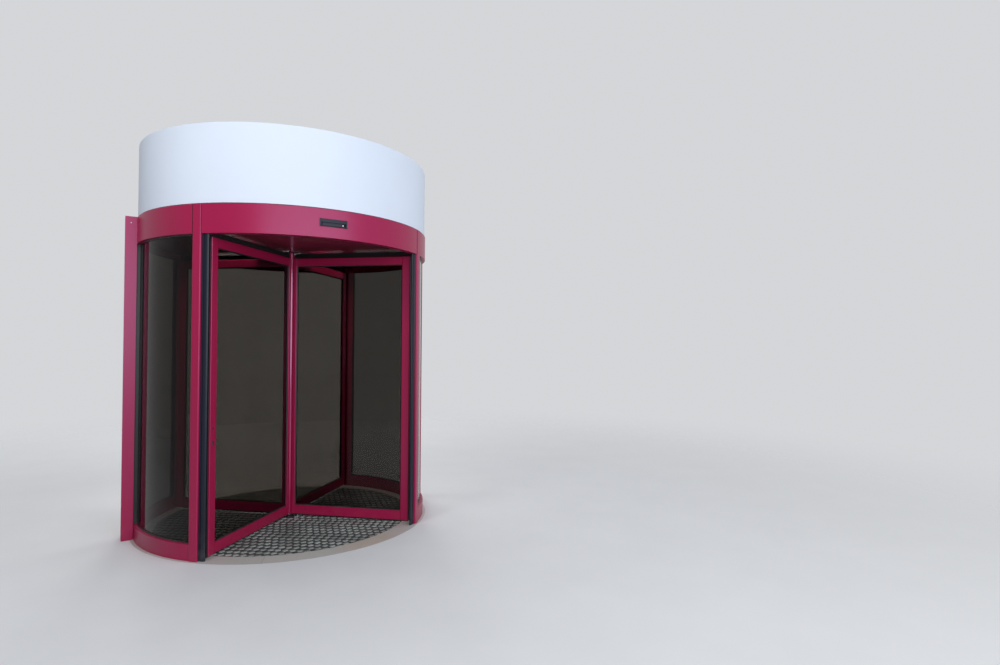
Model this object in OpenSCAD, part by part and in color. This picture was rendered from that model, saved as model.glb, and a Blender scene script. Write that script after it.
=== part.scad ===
// Revolving door with a round drum, four glazed wings and a round plaster upstand
// Millimetres, +Z up, the street is on the -Y side, the origin is the rotor axis at ground level

/* [Drum] */
// Inner radius of the drum walls, which the wing brushes pass
drum_r = 1088; // [950:1:1400]
// Half the angle of each doorway, seen from the axis, in degrees
door_half = 44.5; // [38:0.5:46]
// Clear height of the doorways above the floor ring
clear_h = 2200; // [2000:10:2600]
// Height of the bottom rails of the drum walls
wall_rail_h = 110; // [60:5:250]
// How far the bottom rails stand back from the face of the fascia
rail_back = 3; // [0:0.5:6]
// Thickness of the drum, from its inner face to the face of the fascia
wall_t = 49; // [40:1:90]
// Distance from the inner face of the drum to the middle of the panes
pane_in = 12; // [11:0.5:16]
// Thickness of the curved panes
pane_t = 12; // [8:0.5:16]

/* [Posts] */
// Width of each doorway post along the drum
post_w = 65; // [50:1:100]
// How far the posts stand proud of the fascia
post_proud = 3; // [1:0.5:10]
// Radius of the rounded outer edges of the posts
post_edge_r = 8; // [3:0.5:12]
// Width of the mullions that join the panes on the facade line
mullion_w = 40; // [24:1:80]

/* [Safety strips] */
// How far the rubber strips reach into the doorway
strip_reach = 45; // [25:1:70]
// Thickness of the flat base of the rubber strips
strip_base = 9; // [6:0.5:14]
// Distance from the strips to the inner and outer edge of the posts
strip_inset = 8; // [6:0.5:14]

/* [Fascia and ceiling] */
// Height of the curved fascia
fascia_h = 200; // [150:5:350]
// Thickness of the folded fascia metal
skin_t = 4; // [2:0.5:8]
// Height of the ceiling above the lower edge of the fascia
ceiling_rise = 41; // [30:1:80]
// Thickness of the ceiling panel
ceiling_t = 12; // [6:1:25]
// Width of the ledge that carries the ceiling panel
ledge_w = 25; // [12:1:50]
// Width of the top flange of the fascia
flange_w = 90; // [70:5:140]
// Thickness of the canopy deck
deck_t = 12; // [6:1:25]
// Bedding of tape or sealant between the fascia and the pieces that meet it
bedding = 0.2; // [0.1:0.1:1]

/* [Sensors] */
// Width of the motion sensors
sensor_w = 190; // [120:5:300]
// Height of the motion sensors
sensor_h = 57; // [35:1:80]
// How far the sensors stand out from the fascia
sensor_out = 10; // [5:1:30]
// Height of the sensors above the lower edge of the fascia
sensor_rise = 76; // [30:1:90]

/* [Upstand] */
// Height of the round plaster upstand over the fascia
upstand_h = 550; // [100:10:1200]
// Thickness of the upstand
upstand_t = 40; // [25:1:60]
// How far the upstand stands back from the face of the fascia
upstand_back = 8; // [0:0.5:10]

/* [Facade jambs] */
// Width of the flat jambs beside the drum
jamb_w = 75; // [40:5:250]
// Depth of the jambs, through the facade
jamb_d = 110; // [60:5:250]

/* [Floor] */
// Thickness of the stone floor ring
floor_t = 12; // [8:1:30]
// How much of the ring shows outside the posts
ring_show = 16; // [4:1:60]
// How far the ring reaches inwards from the drum wall
ring_in = 79; // [40:1:150]
// Number of stones in the ring
ring_stones = 8; // [4:1:16]
// Width of the joints between the stones
ring_joint = 2; // [1:0.5:6]
// How far the mat lies below the top of the ring
mat_drop = 2; // [1:0.5:4]
// Gap round the mat, the ceiling panel and the deck
edge_gap = 3; // [1:0.5:8]

/* [Rotor] */
// Diameter of the central shaft
shaft_d = 50; // [46:1:80]
// Turn of the rotor at rest, from wings on the diagonals, in degrees
rest_turn = 1.5; // [-20:0.1:20]
// Clearance between what turns and what stands still
run_gap = 5; // [5:0.5:12]
// Radial clearance of the pivot pin and the top bearing
bearing_gap = 0.05; // [0.02:0.01:0.1]
// Diameter of the pivot pin in the floor
pivot_d = 24; // [16:1:30]
// Diameter of the neck in the top bearing
neck_d = 28; // [16:1:34]
// Height of the pivot shoulder above the floor ring
pivot_rise = 10; // [6:1:20]

/* [Wings] */
// Thickness of the wing frames
leaf_t = 36; // [30:1:60]
// Width of the outer stiles
stile_w = 66; // [40:1:90]
// Width of the inner stiles
inner_stile_w = 26; // [24:1:60]
// Width of the tongue between the shaft and an inner stile
tongue_w = 20; // [14:1:28]
// Height of the top rails
top_rail_h = 65; // [50:1:150]
// Height of the foot rails
foot_rail_h = 76; // [50:1:250]
// Length of the outer brush
side_brush = 15; // [10:1:30]
// Length of the top brush
top_brush = 45; // [12:1:50]
// Length of the foot brush
foot_brush = 12; // [10:1:40]
// Thickness of the wing glass
leaf_glass_t = 10; // [6:0.5:14]
// How deep the glass sits in its frames
rebate = 12; // [8:1:16]
// Clearance round the edges of the glass
glass_gap = 1; // [0.5:0.5:3]

/* [Hidden] */

// Facets of a full turn, on small round pieces and on the drum
$fn = 96;
drum_fn = 180;

// Colours
crimson = [0.62, 0.09, 0.22];
black_rubber = [0.07, 0.08, 0.10];
tinted_glass = [0.30, 0.34, 0.33, 0.45];
cream_stone = [0.78, 0.74, 0.68];
mat_grey = [0.38, 0.40, 0.40];
steel = [0.62, 0.63, 0.65];
gloss_maroon = [0.20, 0.03, 0.07];
plaster = [0.92, 0.93, 0.95];

// Directions of the four sides, seen from the axis
front = -90;
right = 0;
back = 90;
left = 180;

// Radii from the axis outwards
fascia_r = drum_r + wall_t;
rail_r = fascia_r - rail_back;
post_r = fascia_r + post_proud;
ring_r = post_r + ring_show;
mat_r = drum_r - ring_in;
pane_r = drum_r + pane_in;
upstand_r = fascia_r - upstand_back;
upstand_in = upstand_r - upstand_t;
jamb_x = fascia_r + jamb_w;

// Heights above the ground
fascia_z = floor_t + clear_h;
ceiling_z = fascia_z + ceiling_rise;
ledge_z = ceiling_z - skin_t;
panel_z = ceiling_z + bedding;
canopy_z = fascia_z + fascia_h;
upstand_z = canopy_z + upstand_h;

// Angles taken up by the posts and the mullions
post_half = asin(post_w / 2 / post_r);
mullion_half = asin(mullion_w / 2 / fascia_r);
post_mid = door_half + post_half;
post_end = door_half + 2 * post_half;

// Floor pivot and top bearing
pivot_plate_r = 70;
pivot_boss_r = shaft_d / 2 - 2;
pivot_pin_h = 35;
pivot_z = floor_t + pivot_rise;
bearing_hole_r = 60;
bearing_fit = 2;
bearing_flange = 25;
bearing_flange_t = 10;
bearing_h = 60;
neck_h = 50;

// Wing frame
shaft_r = shaft_d / 2;
shaft_top = ledge_z - run_gap;
leaf_in = max(shaft_r + 8, leaf_t / 2 + 4);
leaf_out = drum_r - run_gap - side_brush;
leaf_low = floor_t + run_gap + foot_brush;
leaf_top = ledge_z - run_gap - top_brush;
leaf_edge = 3;
glass_in = leaf_in + inner_stile_w;
glass_out = leaf_out - stile_w;
glass_low = leaf_low + foot_rail_h;
glass_top = leaf_top - top_rail_h;
slot_w = leaf_glass_t + 2 * glass_gap;
brush_t = 9;
brush_tip_t = 5;
brush_back_t = 16;
brush_back = 4;
brush_mitre = 2;

// Points on a circle from angle a to angle b
function arc(r, a, b, steps, mid = [0, 0]) =
    [for (i = [0 : steps]) mid + r * [cos(a + (b - a) * i / steps), sin(a + (b - a) * i / steps)]];

// Corner points of a rectangle with its corners cut off
function cut_box(x_lo, x_hi, y_lo, y_hi, cut) = [
    [x_lo + cut, y_lo], [x_hi - cut, y_lo], [x_hi, y_lo + cut], [x_hi, y_hi - cut],
    [x_hi - cut, y_hi], [x_lo + cut, y_hi], [x_lo, y_hi - cut], [x_lo, y_lo + cut]
];

// A piece of a ring between two radii, two heights and two angles
module ring_piece(r_lo, r_hi, z_lo, z_hi, a_lo, a_hi) {
    rotate([0, 0, a_lo])
        rotate_extrude(angle = a_hi - a_lo, $fn = drum_fn)
            translate([r_lo, z_lo])
                square([r_hi - r_lo, z_hi - z_lo]);
}

// Floor
module floor_ring() {
    joint_half = asin(ring_joint / 2 / ring_r);
    stone = 360 / ring_stones;
    color(cream_stone)
        for (i = [0 : ring_stones - 1])
            ring_piece(mat_r, ring_r, 0, floor_t,
                front + (i - 0.5) * stone + joint_half, front + (i + 0.5) * stone - joint_half);
}

module entrance_mat() {
    color(mat_grey)
        difference() {
            cylinder(r = mat_r - edge_gap, h = floor_t - mat_drop, $fn = drum_fn);
            translate([0, 0, -1])
                cylinder(r = pivot_plate_r + edge_gap, h = floor_t + 2);
        }
}

module floor_pivot() {
    color(steel)
        rotate_extrude()
            polygon([
                [0, 0], [pivot_plate_r, 0], [pivot_plate_r, floor_t - 2], [pivot_plate_r - 2, floor_t],
                [pivot_boss_r + 4, floor_t], [pivot_boss_r, floor_t + 4], [pivot_boss_r, pivot_z],
                [pivot_d / 2, pivot_z], [pivot_d / 2, pivot_z + pivot_pin_h - 2],
                [pivot_d / 2 - 2, pivot_z + pivot_pin_h], [0, pivot_z + pivot_pin_h]
            ]);
}

// Doorway posts, from the floor ring to the top of the fascia
function post_plan() =
    let (
        edge_mid_r = post_r - post_edge_r,
        edge_a = post_half - asin(post_edge_r / edge_mid_r),
        edge_mid = edge_mid_r * [cos(edge_a), sin(edge_a)]
    )
    concat(
        arc(post_r, -edge_a, edge_a, 4),
        arc(post_edge_r, edge_a + 15, post_half + 90, 5, edge_mid),
        arc(drum_r, post_half, -post_half, 4),
        arc(post_edge_r, -post_half - 90, -edge_a - 15, 5, [edge_mid[0], -edge_mid[1]])
    );

module post(side, hand) {
    color(crimson)
        rotate([0, 0, side + hand * post_mid])
            translate([0, 0, floor_t])
                linear_extrude(height = canopy_z - floor_t)
                    polygon(post_plan());
}

// Dark mullions that close the walls against the jambs
module mullions() {
    color(black_rubber)
        for (side = [left, right])
            ring_piece(drum_r, fascia_r, floor_t, fascia_z, side - mullion_half, side + mullion_half);
}

// Rubber strip on the doorway side of a post: x runs outwards, y into the doorway
function strip_plan() =
    let (
        x_lo = drum_r + strip_inset,
        x_hi = post_r - post_edge_r - strip_inset,
        x_mid = (x_lo + x_hi) / 2,
        half = (x_hi - x_lo) / 2,
        neck = 4,
        nose = strip_reach - strip_base
    )
    concat(
        [[x_lo, 0], [x_hi, 0], [x_hi, strip_base - 2], [x_hi - neck, strip_base]],
        [for (i = [0 : 16]) [
            x_mid + (half - neck / 2) * cos(i * 180 / 16) + (i == 0 ? -neck / 2 : i == 16 ? neck / 2 : 0),
            strip_base + (i == 0 || i == 16 ? 1 : 3) + (nose - 3) * sin(i * 180 / 16)
        ]],
        [[x_lo + neck, strip_base], [x_lo, strip_base - 2]]
    );

module safety_strips(side) {
    color(black_rubber)
        for (hand = [-1, 1])
            rotate([0, 0, side])
                mirror([0, hand > 0 ? 1 : 0, 0])
                    rotate([0, 0, -door_half])
                        translate([0, 0, floor_t])
                            linear_extrude(height = clear_h)
                                polygon(strip_plan());
}

// Drum walls: a bottom rail with a groove, and a curved pane standing in it
module wall_rail(side) {
    groove_lo = pane_r - pane_t / 2 - glass_gap;
    groove_hi = pane_r + pane_t / 2 + glass_gap;
    top = floor_t + wall_rail_h;
    sill = 2;
    color(crimson)
        for (span = wall_spans(side))
            rotate([0, 0, span[0]])
                rotate_extrude(angle = span[1] - span[0], $fn = drum_fn)
                    polygon([
                        [drum_r, floor_t], [rail_r, floor_t], [rail_r, top - sill], [rail_r - sill, top],
                        [groove_hi, top], [groove_hi, top - rebate], [groove_lo, top - rebate],
                        [groove_lo, top], [drum_r + sill, top], [drum_r, top - sill]
                    ]);
}

function wall_spans(side) = [
    [side - (90 - post_end), side - mullion_half],
    [side + mullion_half, side + (90 - post_end)]
];

module wall_glass(side, half) {
    span = wall_spans(side)[half];
    edge = asin(glass_gap / pane_r);
    color(tinted_glass)
        ring_piece(pane_r - pane_t / 2, pane_r + pane_t / 2,
            floor_t + wall_rail_h - rebate, fascia_z - glass_gap, span[0] + edge, span[1] - edge);
}

// Flat jambs that join the drum to the facade, cut round the fascia and the floor ring
module jamb(hand) {
    color(crimson)
        difference() {
            translate([hand > 0 ? drum_r : -jamb_x, -jamb_d / 2, 0])
                cube([jamb_x - drum_r, jamb_d, canopy_z]);
            translate([0, 0, -1])
                cylinder(r = ring_r + bedding, h = floor_t + bedding + 1, $fn = drum_fn);
            cylinder(r = fascia_r + bedding, h = canopy_z + 1, $fn = drum_fn);
        }
}

// Folded fascia with a ledge for the ceiling and a top flange for the deck and the upstand
module fascia(side, half_angle) {
    fold = 2;
    color(crimson)
        rotate([0, 0, side - half_angle])
            rotate_extrude(angle = 2 * half_angle, $fn = drum_fn)
                polygon([
                    [drum_r, fascia_z], [fascia_r - fold, fascia_z], [fascia_r, fascia_z + fold],
                    [fascia_r, canopy_z - fold], [fascia_r - fold, canopy_z],
                    [fascia_r - flange_w, canopy_z], [fascia_r - flange_w, canopy_z - skin_t],
                    [fascia_r - skin_t, canopy_z - skin_t], [fascia_r - skin_t, fascia_z + skin_t],
                    [drum_r + skin_t, fascia_z + skin_t], [drum_r + skin_t, ceiling_z],
                    [drum_r - ledge_w, ceiling_z], [drum_r - ledge_w, ledge_z], [drum_r, ledge_z]
                ]);
}

module ceiling_panel() {
    color(gloss_maroon)
        translate([0, 0, panel_z])
            difference() {
                cylinder(r = drum_r - edge_gap, h = ceiling_t, $fn = drum_fn);
                translate([0, 0, -1])
                    cylinder(r = bearing_hole_r, h = ceiling_t + 2);
            }
}

module ceiling_bearing() {
    bore = neck_d / 2 + bearing_gap;
    top = panel_z + ceiling_t;
    color(steel)
        rotate_extrude()
            polygon([
                [bore, panel_z], [bearing_hole_r - bearing_fit - 2, panel_z],
                [bearing_hole_r - bearing_fit, panel_z + 2], [bearing_hole_r - bearing_fit, top],
                [bearing_hole_r + bearing_flange, top],
                [bearing_hole_r + bearing_flange, top + bearing_flange_t],
                [bearing_hole_r - 10, top + bearing_flange_t], [bearing_hole_r - 10, panel_z + bearing_h],
                [bore, panel_z + bearing_h]
            ]);
}

module canopy_deck() {
    color(steel)
        translate([0, 0, canopy_z + bedding])
            cylinder(r = upstand_in - edge_gap, h = deck_t, $fn = drum_fn);
}

module sensors() {
    half = asin(sensor_w / 2 / fascia_r);
    low = fascia_z + sensor_rise;
    cut = 3;
    color(black_rubber)
        for (side = [front, back])
            rotate([0, 0, side - half])
                rotate_extrude(angle = 2 * half, $fn = drum_fn)
                    polygon([
                        [fascia_r, low], [fascia_r + sensor_out - cut, low], [fascia_r + sensor_out, low + cut],
                        [fascia_r + sensor_out, low + sensor_h - 2 * cut],
                        [fascia_r + sensor_out - 2 * cut, low + sensor_h], [fascia_r, low + sensor_h]
                    ]);
}

module upstand(side) {
    color(plaster)
        ring_piece(upstand_in, upstand_r, canopy_z + bedding, upstand_z, side - 90, side + 90);
}

// Rotor
module central_shaft() {
    neck_top = panel_z + neck_h;
    bore_top = pivot_z + pivot_pin_h + 5;
    color(crimson)
        rotate_extrude()
            polygon([
                [pivot_d / 2 + bearing_gap, pivot_z], [shaft_r, pivot_z], [shaft_r, shaft_top - 3],
                [shaft_r - 3, shaft_top], [neck_d / 2, shaft_top], [neck_d / 2, neck_top],
                [0, neck_top], [0, bore_top], [pivot_d / 2 + bearing_gap, bore_top]
            ]);
}

// Every wing is drawn along +X and turned to its place
module to_wing(i) {
    rotate([0, 0, 45 + rest_turn + 90 * (i - 1)])
        children();
}

// Plan of a stile: a frame section with a slot for the glass on one side
module stile_plan(x_lo, x_hi, slot_lo, slot_hi) {
    difference() {
        polygon(cut_box(x_lo, x_hi, -leaf_t / 2, leaf_t / 2, leaf_edge));
        translate([slot_lo, -slot_w / 2])
            square([slot_hi - slot_lo, slot_w]);
    }
}

module wing_stiles(i) {
    color(crimson)
        to_wing(i)
            translate([0, 0, leaf_low])
                linear_extrude(height = leaf_top - leaf_low) {
                    stile_plan(glass_out, leaf_out, glass_out - 1, glass_out + rebate);
                    difference() {
                        union() {
                            stile_plan(leaf_in, glass_in, glass_in - rebate, glass_in + 1);
                            translate([0, -tongue_w / 2])
                                square([leaf_in + 1, tongue_w]);
                        }
                        circle(r = shaft_r);
                    }
                }
}

// Section of a rail across the wing, drawn upright with the slot at its top
module rail_section(h) {
    difference() {
        polygon(cut_box(-leaf_t / 2, leaf_t / 2, 0, h, leaf_edge));
        translate([-slot_w / 2, h - rebate])
            square([slot_w, rebate + 1]);
    }
}

module wing_rails(i) {
    length = glass_out - glass_in;
    color(crimson)
        to_wing(i) {
            translate([glass_in, 0, leaf_low])
                rotate([90, 0, 90])
                    linear_extrude(height = length)
                        rail_section(foot_rail_h);
            translate([glass_in, 0, leaf_top])
                mirror([0, 0, 1])
                    rotate([90, 0, 90])
                        linear_extrude(height = length)
                            rail_section(top_rail_h);
        }
}

module wing_glass(i) {
    edge = rebate - glass_gap;
    color(tinted_glass)
        to_wing(i)
            translate([glass_in - edge, -leaf_glass_t / 2, glass_low - rebate])
                cube([glass_out - glass_in + 2 * edge, leaf_glass_t, glass_top - glass_low + rebate + edge]);
}

// Section of a brush seal: a holder against the frame and a blade of bristles
function brush_plan(reach) = [
    [-brush_back_t / 2, 0], [brush_back_t / 2, 0], [brush_back_t / 2, brush_back], [brush_t / 2, brush_back],
    [brush_tip_t / 2, reach], [-brush_tip_t / 2, reach], [-brush_t / 2, brush_back],
    [-brush_back_t / 2, brush_back]
];

module wing_seals(i) {
    start = leaf_in + brush_mitre;
    color(black_rubber)
        to_wing(i) {
            translate([leaf_out, 0, leaf_low])
                rotate([0, 0, -90])
                    linear_extrude(height = leaf_top - leaf_low)
                        polygon(brush_plan(side_brush));
            translate([start, 0, leaf_top])
                rotate([90, 0, 90])
                    linear_extrude(height = leaf_out - start)
                        polygon(brush_plan(top_brush));
            translate([start, 0, leaf_low])
                mirror([0, 0, 1])
                    rotate([90, 0, 90])
                        linear_extrude(height = leaf_out - start)
                            polygon(brush_plan(foot_brush));
        }
}

floor_ring();
entrance_mat();
floor_pivot();
post(front, -1);  // post_front_left
post(front, 1);  // post_front_right
post(back, -1);  // post_back_right
post(back, 1);  // post_back_left
mullions();
safety_strips(front);  // safety_strips_front
safety_strips(back);  // safety_strips_back
wall_rail(left);  // wall_rail_left
wall_rail(right);  // wall_rail_right
wall_glass(left, 1);  // wall_glass_front_left
wall_glass(right, 0);  // wall_glass_front_right
wall_glass(right, 1);  // wall_glass_back_right
wall_glass(left, 0);  // wall_glass_back_left
jamb(-1);  // jamb_left
jamb(1);  // jamb_right
fascia(front, door_half);  // fascia_front
fascia(right, 90 - post_end);  // fascia_right
fascia(back, door_half);  // fascia_back
fascia(left, 90 - post_end);  // fascia_left
ceiling_panel();
ceiling_bearing();
canopy_deck();
sensors();
upstand(front);  // upstand_front
upstand(back);  // upstand_back
central_shaft();
wing_stiles(1);  // wing_1_stiles
wing_rails(1);  // wing_1_rails
wing_glass(1);  // wing_1_glass
wing_seals(1);  // wing_1_seals
wing_stiles(2);  // wing_2_stiles
wing_rails(2);  // wing_2_rails
wing_glass(2);  // wing_2_glass
wing_seals(2);  // wing_2_seals
wing_stiles(3);  // wing_3_stiles
wing_rails(3);  // wing_3_rails
wing_glass(3);  // wing_3_glass
wing_seals(3);  // wing_3_seals
wing_stiles(4);  // wing_4_stiles
wing_rails(4);  // wing_4_rails
wing_glass(4);  // wing_4_glass
wing_seals(4);  // wing_4_seals
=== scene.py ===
import bpy
import bmesh
from math import atan2, copysign, cos, degrees, hypot, pi, radians, sin, sqrt
from mathutils import Matrix, Vector


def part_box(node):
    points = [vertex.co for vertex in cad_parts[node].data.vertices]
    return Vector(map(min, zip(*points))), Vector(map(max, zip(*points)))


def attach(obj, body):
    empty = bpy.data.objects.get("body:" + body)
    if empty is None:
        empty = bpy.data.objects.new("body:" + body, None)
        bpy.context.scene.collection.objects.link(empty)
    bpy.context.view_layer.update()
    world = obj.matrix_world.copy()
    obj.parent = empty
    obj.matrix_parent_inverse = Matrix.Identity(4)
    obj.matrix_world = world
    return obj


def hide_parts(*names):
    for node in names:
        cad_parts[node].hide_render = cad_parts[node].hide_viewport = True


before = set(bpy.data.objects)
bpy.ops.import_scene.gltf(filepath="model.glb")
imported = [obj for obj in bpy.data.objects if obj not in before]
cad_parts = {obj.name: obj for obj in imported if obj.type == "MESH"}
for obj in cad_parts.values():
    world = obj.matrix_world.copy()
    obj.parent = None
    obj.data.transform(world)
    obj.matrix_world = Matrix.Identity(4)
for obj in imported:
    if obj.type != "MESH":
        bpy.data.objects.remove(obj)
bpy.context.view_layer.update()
print("frame loaded")


def addObject(name, data):
    piece = bpy.data.objects.new(name, data)
    bpy.context.scene.collection.objects.link(piece)
    return piece


# Camera: a wide lens at standing height, left of the street axis and turned right, past the drum
photoCamera = {
    "place": (-1.3102, -5.2481, 1.4782),
    "heading": -33.4,  # degrees from the +Y axis
    "pitch": 0.769,
    "roll": 0.376,
    "sensor": 36.0,
    "lens": 21.42,
    "shiftUp": 0.0039,
}


def makeCamera(setup):
    data = bpy.data.cameras.new("photoCamera")
    data.sensor_width = setup["sensor"]
    data.lens = setup["lens"]
    data.shift_y = setup["shiftUp"]
    data.clip_end = 200
    camera = addObject("photoCamera", data)
    turn = Matrix.Rotation(radians(setup["heading"]), 4, "Z")
    tilt = Matrix.Rotation(radians(90 + setup["pitch"]), 4, "X")
    roll = Matrix.Rotation(radians(setup["roll"]), 4, "Z")
    camera.matrix_world = Matrix.Translation(setup["place"]) @ turn @ tilt @ roll
    bpy.context.scene.camera = camera


makeCamera(photoCamera)
bpy.context.scene.view_settings.view_transform = "Standard"
print("camera placed")


# Sizes read from the frame
def nodePoints(name):
    return [v.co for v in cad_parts[name].data.vertices]


def wingBox(wing, part):  # a wing part's box in the wing's own frame
    back = Matrix.Rotation(radians(-wingTurns[wing]), 3, "Z")
    points = [back @ p for p in nodePoints(f"wing_{wing}_{part}")]
    low = Vector([min(p[i] for p in points) for i in range(3)])
    high = Vector([max(p[i] for p in points) for i in range(3)])
    return low, high


def radii(name):
    lengths = [hypot(p.x, p.y) for p in nodePoints(name)]
    return min(lengths), max(lengths)


def polar(radius, angle, z):  # angle in radians
    return Vector((radius * cos(angle), radius * sin(angle), z))


def wingTurn(wing):  # direction of a wing at rest, in degrees
    points = nodePoints(f"wing_{wing}_glass")
    middle = sum(points, Vector()) / len(points)
    return degrees(atan2(middle.y, middle.x)) % 360


wingTurns = {wing: wingTurn(wing) for wing in (1, 2, 3, 4)}
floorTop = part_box("floor_ring")[1].z
ringInner, ringOuter = radii("floor_ring")
paneInner, paneOuter = radii("wall_glass_front_left")
fasciaOuter = -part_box("fascia_front")[0].y
fasciaLow, fasciaHigh = [corner.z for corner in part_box("fascia_front")]
upstandOuter = radii("upstand_front")[1]


# Small tools for meshes
def newPiece(name, mesh, finish, body):
    piece = addObject(name, mesh)
    if finish:
        mesh.materials.clear()
        mesh.materials.append(finish)
    if body:
        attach(piece, body)
    return piece


def closeMesh(shape, name, smooth=False):
    bmesh.ops.remove_doubles(shape, verts=shape.verts, dist=1e-6)
    bmesh.ops.recalc_face_normals(shape, faces=shape.faces)
    mesh = bpy.data.meshes.new(name)
    shape.to_mesh(mesh)
    shape.free()
    mesh.polygons.foreach_set("use_smooth", [smooth] * len(mesh.polygons))
    return mesh


def shapePiece(name, shape, finish, body, smooth=False):
    return newPiece(name, closeMesh(shape, name, smooth), made[finish], body)


def circleAngles(count):
    return [2 * pi * i / count for i in range(count)]


def bridgeRings(shape, rings, closed):  # quads between neighbouring rings of vertices
    count = len(rings[0])
    last = len(rings) if closed else len(rings) - 1
    for i in range(last):
        a, b = rings[i], rings[(i + 1) % len(rings)]
        for j in range(count):
            k = (j + 1) % count
            shape.faces.new((a[j], a[k], b[k], b[j]))
    if not closed:
        shape.faces.new(list(reversed(rings[0])))
        shape.faces.new(rings[-1])


def arcBar(shape, section, fromAngle, toAngle, steps):  # section: (radius, z) points, angles in degrees
    rings = []
    for i in range(steps + 1):
        angle = radians(fromAngle + (toAngle - fromAngle) * i / steps)
        rings.append([shape.verts.new(polar(r, angle, z)) for r, z in section])
    bridgeRings(shape, rings, False)


def fullRing(shape, section, steps):
    rings = [[shape.verts.new(polar(r, angle, z)) for r, z in section] for angle in circleAngles(steps)]
    bridgeRings(shape, rings, True)


def oblong(inner, outer, low, high):
    return [(inner, low), (outer, low), (outer, high), (inner, high)]


def mitredLoop(shape, low, high, section, toSpace, steps):
    # a bar round a rectangle: section points are (inwards, outwards), toSpace maps (u, v, outwards)
    stations = [(side, i / steps[side % 2]) for side in range(4) for i in range(steps[side % 2])]
    rings = []
    for side, t in stations:
        ring = []
        for inwards, outwards in section:
            left, right = low[0] + inwards, high[0] - inwards
            down, up = low[1] + inwards, high[1] - inwards
            corners = [(left, down), (right, down), (right, up), (left, up)]
            a, b = corners[side], corners[(side + 1) % 4]
            u, v = a[0] + (b[0] - a[0]) * t, a[1] + (b[1] - a[1]) * t
            ring.append(shape.verts.new(toSpace(u, v, outwards)))
        rings.append(ring)
    bridgeRings(shape, rings, True)


# Node trees: an input is given as a value, or as an output socket that is linked to it
def setInputs(tree, node, values):
    for key, value in values.items():
        if isinstance(value, bpy.types.NodeSocket):
            tree.links.new(value, node.inputs[key])
        else:
            node.inputs[key].default_value = value


def addNode(tree, kind, values=None, out=0, **settings):
    # gives the output socket that out names, or all of them for None
    node = tree.nodes.new(kind)
    for key, value in settings.items():
        setattr(node, key, value)
    setInputs(tree, node, values or {})
    return node.outputs if out is None else node.outputs[out]


def addMath(tree, kind, *terms, **settings):
    return addNode(tree, "ShaderNodeMath", dict(enumerate(terms)), operation=kind, **settings)


def vectorMath(tree, kind, *terms, out=0):
    return addNode(tree, "ShaderNodeVectorMath", dict(enumerate(terms)), out, operation=kind)


def combine(tree, **axes):
    return addNode(tree, "ShaderNodeCombineXYZ", axes)


def axesOf(tree, vector):
    return addNode(tree, "ShaderNodeSeparateXYZ", {0: vector}, None)


def mapRange(tree, value, low, high, toLow=0.0, toHigh=1.0, kind="LINEAR"):
    values = {"Value": value, "From Min": low, "From Max": high, "To Min": toLow, "To Max": toHigh}
    return addNode(tree, "ShaderNodeMapRange", values, interpolation_type=kind)


def mixColor(tree, factor, a, b):
    return addNode(tree, "ShaderNodeMix", {"Factor": factor, "A": a, "B": b}, "Result", data_type="RGBA")


def objectPlace(tree):
    return addNode(tree, "ShaderNodeTexCoord", out="Object")


def noiseAt(tree, place, scale, detail, roughness=0.5):
    values = {"Vector": place, "Scale": scale, "Detail": detail, "Roughness": roughness}
    return addNode(tree, "ShaderNodeTexNoise", values, "Fac")


def stretchedNoise(tree, stretch, detail, roughness=0.5):
    place = addNode(tree, "ShaderNodeMapping", {"Vector": objectPlace(tree), "Scale": stretch})
    return noiseAt(tree, place, 1.0, detail, roughness)


def newTree(kind, name, inputs, outputs):
    tree = bpy.data.node_groups.new(name, kind)
    for way, sockets in (("INPUT", inputs), ("OUTPUT", outputs)):
        for label, socketType in sockets.items():
            tree.interface.new_socket(label, in_out=way, socket_type="NodeSocket" + socketType)
    return tree, tree.nodes.new("NodeGroupInput").outputs, tree.nodes.new("NodeGroupOutput")


# Shader groups, shared by the finishes
def makeToneGroup():  # slow drift of a colour's value over the surface
    tree, given, result = newTree(
        "ShaderNodeTree", "toneDrift",
        {"Color": "Color", "Stretch": "Vector", "Amount": "Float"}, {"Color": "Color", "Mask": "Float"},
    )
    noise = stretchedNoise(tree, given["Stretch"], 5.0, 0.55)
    spread = mapRange(tree, noise, 0.3, 0.7, -1.0, 1.0)
    value = addMath(tree, "MULTIPLY_ADD", spread, given["Amount"], 1.0)
    color = addNode(tree, "ShaderNodeHueSaturation", {"Value": value, "Color": given["Color"]})
    setInputs(tree, result, {"Color": color, "Mask": noise})
    return tree


def makeDustGroup():  # dust and scuffs that gather towards the ground
    tree, given, result = newTree(
        "ShaderNodeTree", "footDust",
        {"Color": "Color", "Dust": "Color", "Height": "Float", "Amount": "Float"},
        {"Color": "Color", "Mask": "Float"},
    )
    place = objectPlace(tree)
    fall = mapRange(tree, axesOf(tree, place)["Z"], 0.0, given["Height"], 1.0, 0.0, "SMOOTHSTEP")
    patch = mapRange(tree, noiseAt(tree, place, 14.0, 6.0, 0.65), 0.38, 0.68)
    mask = addMath(tree, "MULTIPLY", addMath(tree, "MULTIPLY", fall, patch), given["Amount"], use_clamp=True)
    color = mixColor(tree, mask, given["Color"], given["Dust"])
    setInputs(tree, result, {"Color": color, "Mask": mask})
    return tree


def makeReliefGroup():  # fine grain on top of a slow waviness
    tree, given, result = newTree(
        "ShaderNodeTree", "surfaceRelief",
        {"Grain Stretch": "Vector", "Grain": "Float", "Wave Stretch": "Vector", "Wave": "Float"},
        {"Normal": "Vector"},
    )
    under = {}
    for part in ("Wave", "Grain"):
        noise = stretchedNoise(tree, given[part + " Stretch"], 2.0)
        values = {"Height": noise, "Distance": given[part], **under}
        under = {"Normal": addNode(tree, "ShaderNodeBump", values)}
    setInputs(tree, result, under)
    return tree


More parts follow.
